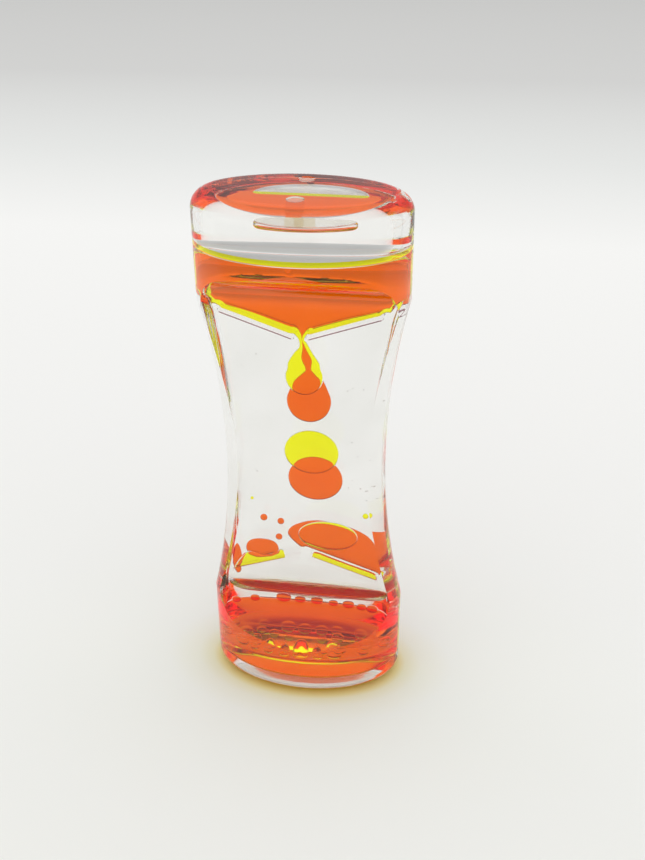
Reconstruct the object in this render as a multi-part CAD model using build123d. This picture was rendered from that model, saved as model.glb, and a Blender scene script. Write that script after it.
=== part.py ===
from build123d import *
import math
import os

# A two-colour liquid motion timer, in millimetres, standing on its base with +Z up.
# The front faces -Y, and the origin is the middle of the base.
# The casing is two clear half shells with a divider plate between them. Each half holds
# clear oil, an air bubble and one coloured liquid, yellow in front and orange behind.
# The liquid drips through the funnel of the upper wings and lands on the lower wings.

os.makedirs("parts", exist_ok=True)

# Casing, outside
height = 135.0
width = 50.5
depth = 31.0
corner_radius = 4.4
block_height = 24.5
waist_width = 40.4
waist_side_radius = 7.0
waist_lead = 0.1

# Windows: the flat middle, and the scoops that lead to it from the end blocks
window_depth = 12.8
window_start = 27.5
scoop_start = 13.5
scoop_lead = 0.2
brow_radius = 4.0

# Casing, inside
wall = 1.8
side_wall = 2.1
end_wall = 4.4
ledge_height = 24.0
ledge_step = 2.45
divider_thickness = 1.0

# Filling plugs
plug_diameter = 4.0
plug_offset = 7.6
plug_recess = 0.2
plug_edge = 0.3
plug_clearance = 0.02

# Wings: the upper pair makes a funnel, the lower pair a roof
wing_thickness = 1.15
wing_inner = 1.35
wing_side_gap = 1.94
wing_rise = 5.9
upper_wing_gap = 10.25
lower_wing_gap = 13.2

# Oil above the liquids in the upper chamber, and the liquids' depth in the lower one
yellow_upper_space = 7.4
yellow_lower_depth = 5.6
orange_upper_space = 10.0
orange_lower_depth = 10.6
ledge_inset = 0.3

# Gaps round what moves, and round what lies loose in the oil
drop_clearance = 0.3
bead_gap = 0.05

# Air bubbles under the top wall, each with its flat side against the divider. The rear one
# lies a little to the right.
bubble_edge_share = 0.6
front_bubble_width = 35.0
front_bubble_depth = 10.3
front_bubble_thickness = 0.8
front_bubble_offset = 0.0
rear_bubble_width = 26.0
rear_bubble_depth = 7.1
rear_bubble_thickness = 2.0
rear_bubble_offset = 2.0

# Falling drops, and drops that still hang from the pools above. Each is (sideways and width
# as shares of the wings' reach, down from the upper wings and height as shares of the fall).
drop_edge = 1.5
yellow_drop_shares = (0.113, 0.711, 0.4855, 0.19)
yellow_landing_shares = (0.32, 0.8, 0.877, 0.135)
orange_drop_shares = (0.134, 0.732, 0.6365, 0.197)
yellow_hanging_shares = (0.031, 0.474, 0.16, 0.148)
orange_hanging_shares = (0.062, 0.577, 0.288, 0.181)

# Their necks from the wings down. Each point is (sideways from the middle towards the drop,
# down from the wings to the drop, neck width as a share of the gap between the wings).
yellow_neck_shares = ((0.4, 0.05, 0.65), (1.2, 0.22, 0.94), (1.0, 0.39, 1.75), (1.0, 0.62, 2.8))
orange_neck_shares = (
    (0.0, 0.085, 0.3),
    (0.1, 0.17, 0.38),
    (0.35, 0.26, 0.77),
    (0.7, 0.38, 1.15),
    (0.9, 0.52, 0.6),
    (1.0, 0.615, 1.4),
    (1.0, 0.705, 2.65),
)
neck_side_share = 0.455
neck_top_share = 0.2

# Yellow liquid lying on the lower wings. The left wing's has a bead at its inner end and
# swells into a lens further out.
film_thickness = 1.2
film_bead = 3.0
film_round_share = 0.45
yellow_left_film_shares = (-0.97, -0.27)
yellow_left_bead_share = -0.33
yellow_left_lens_share = -0.74
yellow_left_lens_width = 7.0
yellow_left_lens_height = 4.4
yellow_right_film_shares = (0.1, 0.98)

# Orange liquid on and beside the lower wings. The mass's points are shares of the wings'
# reach sideways, and of the wings' rise up from their inner ends.
orange_mass_shares = (
    (-0.25, 0.93),
    (-0.15, 1.42),
    (0.165, 1.75),
    (0.6, 1.49),
    (0.91, 0.98),
    (1.24, 0.39),
    (1.24, -1.73),
    (1.02, -1.69),
    (0.98, -1.22),
    (0.52, -0.61),
    (0.12, -0.2),
    (-0.03, 0.37),
)
orange_blob_share = -0.613
orange_blob_width = 9.0
orange_blob_height = 5.6
orange_side_blob_share = -0.644
orange_side_blob_gap = 0.1
orange_side_blob_width = 3.2
orange_side_blob_height = 9.6

# Small drops still sinking. Each is (sideways as a share of the wings' reach, up from the
# lower wings' inner ends as a share of their rise, radius as a share of the largest).
satellite_radius = 1.0
orange_satellite_shares = ((-0.577, 1.69, 1.0), (-0.345, 1.56, 0.95), (-0.376, 0.71, 0.95))
yellow_satellite_shares = ((0.82, 2.53, 0.8), (-0.69, 3.02, 0.45))

# Beads that have sunk and not yet merged, in two rows along the outer wall
bead_radius = 1.6
bead_radius_swing = 0.35
bead_count = 15
bead_row_count = 2
bead_row_step = 4.2

# The cutting tools reach this far past what they cut
far = 60.0

# Worked out from the sizes above
plug_length = end_wall - plug_recess
ledge_half_width = width / 2 - ledge_step
waist_half_width = waist_width / 2 - side_wall
waist_rise = height / 2 - ledge_height
waist_sag = ledge_half_width - waist_half_width
waist_radius = (waist_rise**2 + waist_sag**2) / (2 * waist_sag)
upper_wing_height = height - ledge_height - upper_wing_gap
lower_wing_height = ledge_height + lower_wing_gap
fall = upper_wing_height - lower_wing_height
wing_end_height = lower_wing_height - wing_rise
wing_end_bow = math.sqrt(waist_radius**2 - (height / 2 - wing_end_height) ** 2)
wing_outer = waist_half_width + waist_radius - wing_end_bow - wing_side_gap
wing_run = wing_outer - wing_inner - wing_thickness
wing_tilt = math.atan2(wing_rise, wing_run)
channel_near = divider_thickness / 2
channel_far = window_depth / 2 - wall
scoop_turn = 2 * math.atan2(depth / 2 + scoop_lead - window_depth / 2, window_start - scoop_start)
scoop_radius = (window_start - scoop_start) / math.sin(scoop_turn) - brow_radius


def arc_points(centre, radius, start, end):
    """An arc's start, middle and end."""
    angles = (start, (start + end) / 2, end)
    return [(centre[0] + radius * math.cos(a), centre[1] + radius * math.sin(a)) for a in angles]


def turned_over(points):
    """The same points measured from the other end of the timer, in reverse order."""
    return [(p[0], height - p[1]) for p in reversed(points)]


def both_sides(solid, plane):
    """A solid and its mirror image, as one."""
    return solid + mirror(solid, plane)


def side_form(inset):
    """The casing seen from the side, drawn in by inset: end blocks, scoops and flat windows."""
    block = depth / 2 + scoop_lead
    window = window_depth / 2
    brow = arc_points((block - brow_radius, scoop_start), brow_radius - inset, 0, scoop_turn)
    scoop_centre = (window + scoop_radius, window_start)
    scoop = arc_points(scoop_centre, scoop_radius + inset, math.pi + scoop_turn, math.pi)
    low = (block - inset, -far)
    high = (block - inset, height + far)
    outline = [
        Line(low, brow[0]),
        ThreePointArc(*brow),
        ThreePointArc(*scoop),
        Line(scoop[2], turned_over(scoop)[0]),
        ThreePointArc(*turned_over(scoop)),
        ThreePointArc(*turned_over(brow)),
        Line(turned_over(brow)[2], high),
        Line(high, (0, height + far)),
        Line((0, height + far), (0, -far)),
        Line((0, -far), low),
    ]
    half = extrude(Plane.YZ * Face(Wire(outline)), amount=far, both=True)
    return both_sides(half, Plane.XZ)


def cavity_reach(z):
    """How far the cavity reaches from the divider's middle plane, at a height up to the window."""
    brow = brow_radius - wall
    above = z - scoop_start
    if above < brow * math.sin(scoop_turn):
        return depth / 2 + scoop_lead - brow_radius + math.sqrt(brow**2 - max(above, 0) ** 2)
    above = window_start - z
    return window_depth / 2 + scoop_radius - math.sqrt((scoop_radius + wall) ** 2 - above**2)


def side_reach(z):
    """How far the cavity reaches sideways at a height between its ledges."""
    bow = math.sqrt(waist_radius**2 - (height / 2 - z) ** 2)
    return waist_half_width + waist_radius - bow


def waist_cut(end_half_width, end_height, middle_half_width):
    """What comes off the sides between the end blocks, to leave a rounded waist."""
    middle = waist_width / 2 - waist_side_radius
    length = height - 2 * end_height
    low = (end_half_width, end_height)
    high = (end_half_width, height - end_height)
    outline = [
        Line((middle, end_height), low),
        ThreePointArc(low, (middle_half_width, height / 2), high),
        Line(high, (middle, height - end_height)),
        Line((middle, height - end_height), (middle, end_height)),
    ]
    side = revolve(Plane.XZ * Face(Wire(outline)), Axis((middle, 0, 0), (0, 0, 1)), 360)
    core = Pos(0, 0, height / 2) * Box(2 * middle, 2 * far, length)
    blank = Pos(0, 0, height / 2) * Box(2 * far, 2 * far, length)
    return blank - (both_sides(side, Plane.YZ) + core)


def oval_block(half_width, half_depth, low, high, radius):
    """An upright oval block with rounded ends."""
    block = Pos(0, 0, low) * extrude(Ellipse(half_width, half_depth), high - low)
    rims = block.edges().group_by(Axis.Z)
    return fillet(rims[0] + rims[-1], radius)


def casing_outside():
    oval = oval_block(width / 2, depth / 2, 0, height, corner_radius)
    cut = waist_cut(width / 2 + waist_lead, block_height, waist_width / 2)
    return (oval & side_form(0)) - cut


def casing_inside():
    top = height - end_wall
    oval = oval_block(width / 2 - wall, depth / 2 - wall, end_wall, top, corner_radius - wall)
    cut = waist_cut(ledge_half_width, ledge_height, waist_half_width)
    return (oval & side_form(wall)) - cut


def space_beside_divider(side):
    """All that lies in front of the divider (side -1) or behind it (side 1)."""
    blank = Box(2 * far, far, height + 2 * far)
    return Pos(0, side * (far / 2 + channel_near), height / 2) * blank


def upright(face, side, near, reach):
    """A face drawn in x and z, given thickness from near the divider outwards."""
    slab = extrude(Plane((0, 0, 0), x_dir=(1, 0, 0), z_dir=(0, -1, 0)) * face, reach)
    return Pos(0, -near if side < 0 else near + reach, 0) * slab


def through_channel(face, side, gap=0):
    """A face drawn in x and z, from one wall of the thin channel to the other, less a gap."""
    near = channel_near + gap
    return upright(face, side, near, channel_far - gap - near)


def plug_hole(side):
    low = height - plug_recess - plug_length
    return Pos(0, side * plug_offset, low) * extrude(Circle(plug_diameter / 2), plug_length + far)


def filling_plug(side):
    plug = extrude(Circle(plug_diameter / 2 - plug_clearance), plug_length)
    plug = chamfer(plug.edges().group_by(Axis.Z)[-1], plug_edge)
    return Pos(0, side * plug_offset, height - plug_recess - plug_length) * plug


def air_bubble(side, wide, deep, thick, offset):
    """A flat bubble under the top wall, half of an oval, against the divider."""
    bubble = extrude(Ellipse(wide / 2, deep), thick)
    bubble = fillet(bubble.edges().group_by(Axis.Z)[0], thick * bubble_edge_share)
    bubble = Pos(offset, side * channel_near, height - end_wall - thick) * bubble
    return bubble & space_beside_divider(side)


def drop_sizes(shares):
    """A drop's place in x and z, its width and its height, from its shares."""
    across, wide, down, tall = shares
    return (across * wing_outer, upper_wing_height - down * fall, wide * wing_outer, tall * fall)


def wing_outline(upper, hand):
    """One wing from its inner end beside the gap to its outer end, both round."""
    slope = 1 if upper else -1
    inner = upper_wing_height if upper else lower_wing_height
    middle_x = (wing_inner + wing_outer) / 2
    middle_z = inner + (wing_thickness + slope * wing_rise) / 2
    turn = math.degrees(slope * hand * wing_tilt)
    slot = SlotCenterToCenter(math.hypot(wing_run, wing_rise), wing_thickness)
    return Pos(hand * middle_x, middle_z) * Rot(0, 0, turn) * slot


def wing_top(upper, x):
    """Height of a wing's upper face at a place sideways from the middle."""
    slope = wing_rise / wing_run if upper else -wing_rise / wing_run
    inner = upper_wing_height if upper else lower_wing_height
    middle = inner + wing_thickness / 2 + slope * (abs(x) - wing_inner - wing_thickness / 2)
    return middle + wing_thickness / 2 / math.cos(wing_tilt)


def oval_outline(x, z, wide, tall):
    return Pos(x, z) * Ellipse(wide / 2, tall / 2)


def neck_points(shares, drop_x, drop_z, hand):
    """The points down one side of a neck."""
    points = []
    for across, down, wide in shares:
        x = across * drop_x + hand * wide * wing_inner
        points.append((x, upper_wing_height + down * (drop_z - upper_wing_height)))
    return points


def upper_pool_outline(level, x, z, wide, tall, neck_shares):
    """The liquid on the funnel, its neck through the gap, and the drop that hangs from it."""
    ledge = height - ledge_height
    ledge_x = ledge_half_width - ledge_inset
    end_x = wing_outer - wing_thickness
    end = (end_x, wing_top(True, end_x))
    bulge = ((ledge_half_width + wing_outer) / 2 - ledge_inset, (ledge + end[1]) / 2)
    inner_x = wing_inner + wing_thickness / 2
    inner = (inner_x, wing_top(True, inner_x))
    touch_x = wide * neck_side_share
    touch_z = z + tall * neck_top_share
    left = [(-p[0], p[1]) for p in (end, bulge, inner)]
    outline = [
        Line((far, ledge), (far, level)),
        Line((far, level), (-far, level)),
        Line((-far, level), (-far, ledge)),
        Line((-far, ledge), (-ledge_x, ledge)),
        ThreePointArc((-ledge_x, ledge), left[1], left[0]),
        Line(left[0], left[2]),
        Spline(left[2], *neck_points(neck_shares, x, z, -1), (x - touch_x, touch_z)),
        Line((x - touch_x, touch_z), (x + touch_x, touch_z)),
        Spline((x + touch_x, touch_z), *reversed(neck_points(neck_shares, x, z, 1)), inner),
        Line(inner, end),
        ThreePointArc(end, bulge, (ledge_x, ledge)),
        Line((ledge_x, ledge), (far, ledge)),
    ]
    return Face(Wire(outline)) + oval_outline(x, z, wide, tall)


def film_outline(start_share, end_share):
    """Liquid lying on a lower wing, between two shares of the wings' reach."""
    start = start_share * wing_outer
    end = end_share * wing_outer
    rise = wing_top(False, end) - wing_top(False, start)
    length = math.hypot(end - start, rise)
    sheet = RectangleRounded(length, film_thickness, film_thickness * film_round_share)
    middle = ((start + end) / 2, (wing_top(False, start) + wing_top(False, end)) / 2)
    turn = math.degrees(math.atan2(rise, end - start))
    return Pos(*middle) * Rot(0, 0, turn) * Pos(0, film_thickness / 2) * sheet


def resting_outline(share, wide, tall):
    """An oval drop that rests on a lower wing, sunk into it by half the wing's thickness."""
    x = share * wing_outer
    reach_down = math.hypot(tall / 2, wide / 2 * math.tan(wing_tilt))
    return oval_outline(x, wing_top(False, x) + reach_down - wing_thickness / 2, wide, tall)


def yellow_on_wings(side):
    """A film on each lower wing. The left one has a lens in it and ends in a bead."""
    bead_x = yellow_left_bead_share * wing_outer
    bead_z = wing_top(False, bead_x) + film_bead / 2
    left = film_outline(*yellow_left_film_shares) + Pos(bead_x, bead_z) * Circle(film_bead / 2)
    lens_sizes = (yellow_left_lens_width, yellow_left_lens_height)
    left = left + resting_outline(yellow_left_lens_share, *lens_sizes)
    right = film_outline(*yellow_right_film_shares)
    return {
        "yellow_left_puddle": through_channel(left, side),
        "yellow_right_puddle": through_channel(right, side),
    }


def orange_on_wings(side):
    """A large mass that runs over the right wing's end, and two blobs on the left."""
    points = [(a * wing_outer, lower_wing_height + b * wing_rise) for a, b in orange_mass_shares]
    mass = make_face(Spline(*points, periodic=True))
    blob = resting_outline(orange_blob_share, orange_blob_width, orange_blob_height)
    side_z = lower_wing_height + orange_side_blob_share * wing_rise
    side_x = orange_side_blob_width / 2 + orange_side_blob_gap - side_reach(side_z)
    side_blob = oval_outline(side_x, side_z, orange_side_blob_width, orange_side_blob_height)
    return {
        "orange_right_mass": through_channel(mass, side),
        "orange_left_blob": through_channel(blob, side),
        "orange_side_blob": through_channel(side_blob, side),
    }


def satellite_drops(shares, side, extra):
    """Small round drops in the middle of the channel, each larger by extra."""
    middle = side * (channel_near + channel_far) / 2
    drops = []
    for across, up, radius in shares:
        place = Pos(across * wing_outer, middle, lower_wing_height + up * wing_rise)
        drops.append(place * Sphere(radius * satellite_radius + extra))
    return drops


def settled_beads(side, level):
    """Rows of beads on a lower pool, along its curved wall, with radii that vary a little."""
    beads = []
    widest = bead_radius + bead_radius_swing
    reach = min(depth / 2 - wall, cavity_reach(level + 2 * widest))
    for row in range(bead_row_count):
        half_width = width / 2 - wall - widest - drop_clearance - row * bead_row_step
        half_depth = reach - widest - drop_clearance - row * bead_row_step
        count = bead_count - 2 * row
        for i in range(count):
            turn = math.pi * (i + 0.5) / count
            radius = bead_radius + bead_radius_swing * math.cos(count * turn * turn + row)
            x = half_width * math.cos(turn)
            y = half_depth * math.sin(turn)
            place = Vector(x, side * y, level + bead_gap + radius)
            clear = y > channel_near + widest
            if clear and all((place - other).length > 2 * widest for other, r in beads):
                beads.append((place, radius))
    return [Pos(place) * Sphere(radius) for place, radius in beads]


def write(name, solid):
    export_step(solid, f"parts/{name}.step")
    print(name, round(solid.volume, 1), "mm3")


def write_half(
    side, place, colour, bubble, space, depth_below, hanging, necks, falling, on_wings, satellites
):
    """Writes one half shell and all that it holds, and last the oil that fills the rest."""
    room = inside & space_beside_divider(side)
    write(f"{place}_shell", (outside & space_beside_divider(side)) - inside - plug_hole(side))
    write(f"{place}_fill_plug", filling_plug(side))
    taken = []

    for upper, pair in ((True, "upper"), (False, "lower")):
        for hand, hand_name in ((-1, "left"), (1, "right")):
            wing = through_channel(wing_outline(upper, hand), side)
            write(f"{place}_{pair}_{hand_name}_wing", wing)
            taken.append(wing)

    upper_level = height - end_wall - space
    lower_level = end_wall + depth_below
    pool_outline = upper_pool_outline(upper_level, *drop_sizes(hanging), necks)
    pool = upright(pool_outline, side, channel_near, far)
    pieces = {
        f"{colour}_upper_pool": pool,
        f"{colour}_lower_pool": Pos(0, 0, lower_level - far) * Box(2 * far, 2 * far, 2 * far),
        f"{place}_air_bubble": bubble,
        **on_wings(side),
    }
    for name, solid in pieces.items():
        piece = (room & solid) - Compound(taken)
        write(name, piece)
        taken.append(piece)

    # Round things lie clear of the walls and of each other
    beads = settled_beads(side, lower_level)
    write(f"{colour}_settled_beads", Compound(beads))
    write(f"{colour}_satellite_drops", Compound(satellite_drops(satellites, side, 0)))
    taken += beads + satellite_drops(satellites, side, drop_clearance)

    # Large drops are flattened between the channel's walls, and the oil stands clear of them
    for name, shares in falling.items():
        x, z, wide, tall = drop_sizes(shares)
        drop = through_channel(oval_outline(x, z, wide, tall), side, drop_clearance)
        write(name, fillet(drop.edges(), drop_edge))
        around = oval_outline(x, z, wide + 2 * drop_clearance, tall + 2 * drop_clearance)
        taken.append(through_channel(around, side))

    oil = room
    for solid in taken:
        oil = oil - solid
    write(f"{place}_clear_oil", oil)


outside = casing_outside()
inside = casing_inside()
write("divider_plate", outside - space_beside_divider(-1) - space_beside_divider(1))

write_half(
    side=-1,
    place="front",
    colour="yellow",
    bubble=air_bubble(
        -1, front_bubble_width, front_bubble_depth, front_bubble_thickness, front_bubble_offset
    ),
    space=yellow_upper_space,
    depth_below=yellow_lower_depth,
    hanging=yellow_hanging_shares,
    necks=yellow_neck_shares,
    falling={
        "yellow_falling_drop": yellow_drop_shares,
        "yellow_landing_drop": yellow_landing_shares,
    },
    on_wings=yellow_on_wings,
    satellites=yellow_satellite_shares,
)
write_half(
    side=1,
    place="rear",
    colour="orange",
    bubble=air_bubble(
        1, rear_bubble_width, rear_bubble_depth, rear_bubble_thickness, rear_bubble_offset
    ),
    space=orange_upper_space,
    depth_below=orange_lower_depth,
    hanging=orange_hanging_shares,
    necks=orange_neck_shares,
    falling={"orange_falling_drop": orange_drop_shares},
    on_wings=orange_on_wings,
    satellites=orange_satellite_shares,
)
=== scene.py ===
import math
import random

import bmesh
import bpy
import numpy as np
from mathutils import Matrix, Vector
from mathutils.geometry import delaunay_2d_cdt


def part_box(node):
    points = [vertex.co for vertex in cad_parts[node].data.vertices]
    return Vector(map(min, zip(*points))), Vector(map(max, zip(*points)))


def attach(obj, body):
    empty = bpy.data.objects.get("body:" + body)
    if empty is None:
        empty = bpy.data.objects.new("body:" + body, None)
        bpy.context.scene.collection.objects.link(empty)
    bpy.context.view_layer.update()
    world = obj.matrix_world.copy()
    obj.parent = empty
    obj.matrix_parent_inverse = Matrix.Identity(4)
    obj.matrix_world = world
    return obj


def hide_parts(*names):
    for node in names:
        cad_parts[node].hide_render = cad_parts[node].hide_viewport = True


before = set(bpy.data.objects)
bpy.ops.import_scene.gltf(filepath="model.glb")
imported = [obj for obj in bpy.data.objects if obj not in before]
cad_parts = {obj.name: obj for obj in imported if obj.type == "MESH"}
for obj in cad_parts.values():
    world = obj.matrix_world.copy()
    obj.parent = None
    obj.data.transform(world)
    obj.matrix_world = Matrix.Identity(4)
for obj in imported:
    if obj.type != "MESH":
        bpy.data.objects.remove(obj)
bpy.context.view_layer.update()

# Lengths in this script are in millimetres, and MM turns them into metres.
MM = 0.001

# The camera, as fitted to the photograph
focal_px = 1055.6
image_width_px = 645
sensor_width = 36.0
camera_pitch = 0.5184
camera_yaw = 0.1551
camera_roll = 0.0076
camera_distance = 228.56
camera_height = 204.1
camera_side = 4.313

# The casing: its height, width and divider thickness from the imported model, the rest given here
low_corner, high_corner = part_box("divider_plate")
height = high_corner.z / MM
width = (high_corner.x - low_corner.x) / MM
divider_thickness = (high_corner.y - low_corner.y) / MM
depth = 31.0
corner_radius = 4.4
block_height = 24.5
waist_width = 40.4
waist_side_radius = 7.0
waist_lead = 0.1
window_depth = 12.8
window_start = 27.5
scoop_start = 13.5
scoop_lead = 0.2
brow_radius = 4.0
wall = 1.8
side_wall = 2.1
end_wall = 4.4
ledge_height = 24.0
ledge_half_width = 22.8

# What the casing holds
plug_radius = 2.0
plug_offset = 7.6
wing_thickness = 1.15
wing_inner = 1.35
wing_outer = 19.4
wing_rise = 5.9
upper_wing_height = 100.75
lower_wing_height = 37.2
# The painted dark line of shade along the lower edge of an upper wing's end, where it meets the window: its
# height
wing_shade_height = 0.28
# The front bubble lies along the curved wall: its middle sideways, half its width, half its
# depth, its thickness and its gap to the wall
front_bubble = (2.5, 10.8, 2.1, 1.1, 0.25)
# The rear bubble lies flat side against the divider: its middle, half width, depth, thickness
rear_bubble = (2.0, 13.0, 7.1, 2.0)
yellow_upper_level = 121.9
yellow_lower_level = 10.5
orange_upper_level = 121.55
orange_lower_level = 17.0

# How far the yellow's upper edge is drawn up the front wall, and how thick it is there
rim_rise = 1.3
rim_thickness = 0.5

# Refractive indices, each as seen from the medium around the surface
plastic_in_air = 1.49
plastic_in_oil = 1.014
water_in_oil = 0.935
air_in_oil = 0.68

# Pieces that touch in the real timer stand this far apart, so that no two surfaces coincide
film = 0.04
seam = 0.008
# The casing's mesh lies this far inside the solid's outline
skin = 0.0015

# How often a search for a place on a form halves its interval, and how near two rows may be
fine_halvings = 40
quick_halvings = 24
row_gap = 0.015

# Worked out from the sizes above
near_face = divider_thickness / 2
barrel_middle = waist_width / 2 - waist_side_radius
block_reach = depth / 2 + scoop_lead
scoop_turn = 2 * math.atan2(block_reach - window_depth / 2, window_start - scoop_start)
scoop_radius = (window_start - scoop_start) / math.sin(scoop_turn) - brow_radius
wing_run = wing_outer - wing_inner - wing_thickness
wing_tilt = math.atan2(wing_rise, wing_run)


class Form:
    """One smooth closed form: the casing's outside, or the cavity in it."""

    def __init__(self, inset, end, rim, ledge, ledge_half, waist_half, near):
        self.near = near
        self.half_width = width / 2 - inset
        self.half_depth = depth / 2 - inset
        self.inset = inset
        self.low = end
        self.high = height - end
        self.rim = rim
        self.ledge = ledge
        self.ledge_half = ledge_half
        self.waist_half = waist_half
        rise = height / 2 - ledge
        sag = ledge_half - waist_half
        self.waist_arc = (rise**2 + sag**2) / (2 * sag)

    def window_reach(self, z):
        """Distance from the middle plane to the window or scoop at a height."""
        z = min(z, height - z)
        brow = brow_radius - self.inset
        if z <= scoop_start:
            return block_reach - self.inset
        if z <= scoop_start + brow * math.sin(scoop_turn):
            return block_reach - brow_radius + math.sqrt(brow**2 - (z - scoop_start) ** 2)
        if z < window_start:
            hollow = scoop_radius + self.inset
            return window_depth / 2 + scoop_radius - math.sqrt(hollow**2 - (window_start - z) ** 2)
        return window_depth / 2 - self.inset

    def barrel_radius(self, z):
        """Radius of the rounded waist's sides at a height."""
        if z < self.ledge or z > height - self.ledge:
            return math.inf
        across = self.waist_half + self.waist_arc
        across -= math.sqrt(self.waist_arc**2 - (z - height / 2) ** 2)
        return across - barrel_middle

    def rim_drop(self, z):
        """How far the rounded end draws the oval in at a height."""
        above = min(z - self.low, self.high - z)
        if above >= self.rim:
            return 0
        return self.rim - math.sqrt(max(self.rim**2 - (self.rim - max(above, 0)) ** 2, 0))

    def side_point(self, z, angle):
        """A point of the section's side, by its angle about the middle of the rounded side."""
        a, b = self.half_width, self.half_depth
        ux, uy = math.cos(angle), math.sin(angle)
        square = (ux / a) ** 2 + (uy / b) ** 2
        linear = barrel_middle * ux / a**2
        reach = (math.sqrt(linear**2 - square * ((barrel_middle / a) ** 2 - 1)) - linear) / square
        x = barrel_middle + reach * ux
        y = reach * uy
        drop = self.rim_drop(z)
        if drop:
            length = math.hypot(x / a**2, y / b**2)
            x -= drop * x / a**2 / length
            y -= drop * y / b**2 / length
        radius = self.barrel_radius(z)
        away = math.hypot(x - barrel_middle, y)
        if away > radius:
            x = barrel_middle + (x - barrel_middle) * radius / away
            y *= radius / away
        return x, y

    def angle_at(self, z, y):
        """The angle at which the side reaches a distance from the middle plane."""
        low, high = 0, math.atan2(self.half_depth, -barrel_middle)
        for i in range(fine_halvings):
            middle = (low + high) / 2
            if self.side_point(z, middle)[1] < y:
                low = middle
            else:
                high = middle
        return (low + high) / 2

    def half_width_at(self, z):
        """The section's half width beside the divider."""
        return self.side_point(z, self.angle_at(z, self.near))[0]

    def section(self, z, side_count):
        """The section's side from the divider round to the window's edge or to the middle."""
        start = self.angle_at(z, self.near)
        reach = self.window_reach(z)
        has_window = reach < self.half_depth - self.rim_drop(z) - 1e-4
        end = self.angle_at(z, reach) if has_window else math.atan2(self.half_depth, -barrel_middle)
        span = end - start
        side = [self.side_point(z, start + span * i / side_count) for i in range(side_count + 1)]
        if not has_window:
            side[-1] = (0, side[-1][1])
        return side, has_window

    def depth_at(self, x, z):
        """Distance from the middle plane to the form's front at a place. Zero outside it."""
        x = abs(x)
        a, b = self.half_width, self.half_depth
        drop = self.rim_drop(z)
        if x >= a - drop:
            return 0
        low, high = 0, math.pi / 2
        for i in range(quick_halvings):
            turn = (low + high) / 2
            length = math.hypot(math.cos(turn) / a, math.sin(turn) / b)
            at = a * math.cos(turn) - drop * math.cos(turn) / a / length
            if at > x:
                low = turn
            else:
                high = turn
        length = math.hypot(math.cos(high) / a, math.sin(high) / b)
        reach = b * math.sin(high) - drop * math.sin(high) / b / length
        radius = self.barrel_radius(z)
        if x > barrel_middle:
            if x - barrel_middle >= radius:
                return 0
            if radius < math.inf:
                reach = min(reach, math.sqrt(radius**2 - (x - barrel_middle) ** 2))
        return max(min(reach, self.window_reach(z)), 0)

    def heights(self):
        """The heights of the mesh's rows, closer where the form bends."""
        rim_rows, brow_rows, long_rows, ledge_gap = 6, 14, 30, 0.01
        apex_drop = self.half_depth - block_reach + brow_radius
        brow = brow_radius - self.inset
        apex = scoop_start + math.sqrt(brow**2 - apex_drop**2)
        brow_end = scoop_start + brow * math.sin(scoop_turn)
        rows = [self.low + self.rim * (1 - math.cos(math.radians(a))) for a in range(0, 91, 9)]
        rows += list(np.linspace(self.low + self.rim, apex, rim_rows)[1:])
        rows += [apex + (brow_end - apex) * (i / brow_rows) ** 2 for i in range(1, brow_rows + 1)]
        rows += list(np.linspace(brow_end, window_start, long_rows)[1:])
        rows += [self.ledge - ledge_gap, self.ledge + ledge_gap]
        rows += list(np.linspace(window_start, height / 2, long_rows)[1:])
        rows = sorted(set(round(z, 4) for z in rows))
        kept = [rows[0]]
        for z in rows[1:]:
            if z - kept[-1] > row_gap:
                kept.append(z)
        return kept + [height - z for z in reversed(kept[:-1])]


outside = Form(
    skin, 0, corner_radius, block_height, width / 2 + waist_lead, waist_width / 2, near_face + seam
)
cavity = Form(
    wall, end_wall, corner_radius - wall, ledge_height, ledge_half_width,
    waist_width / 2 - side_wall, near_face + seam,
)
oil = Form(
    wall + film / 2, end_wall + film / 2, corner_radius - wall, ledge_height + film / 2,
    ledge_half_width - film / 2, waist_width / 2 - side_wall - film / 2, near_face + film / 2,
)


# Mesh helpers

def new_object(name, mesh_builder, materials, body, replaced, sharp_angle=28):
    """Turns a bmesh in millimetres into a piece that rides on a body."""
    mesh = bpy.data.meshes.new(name)
    bmesh.ops.recalc_face_normals(mesh_builder, faces=mesh_builder.faces)
    bmesh.ops.scale(mesh_builder, vec=(MM, MM, MM), verts=mesh_builder.verts)
    mesh_builder.to_mesh(mesh)
    mesh_builder.free()
    for material in materials:
        mesh.materials.append(material)
    mesh.shade_smooth()
    mesh.set_sharp_from_angle(angle=math.radians(sharp_angle))
    piece = bpy.data.objects.new(name, mesh)
    bpy.context.scene.collection.objects.link(piece)
    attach(piece, body)
    if replaced:
        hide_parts(*replaced)
    return piece


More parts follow.
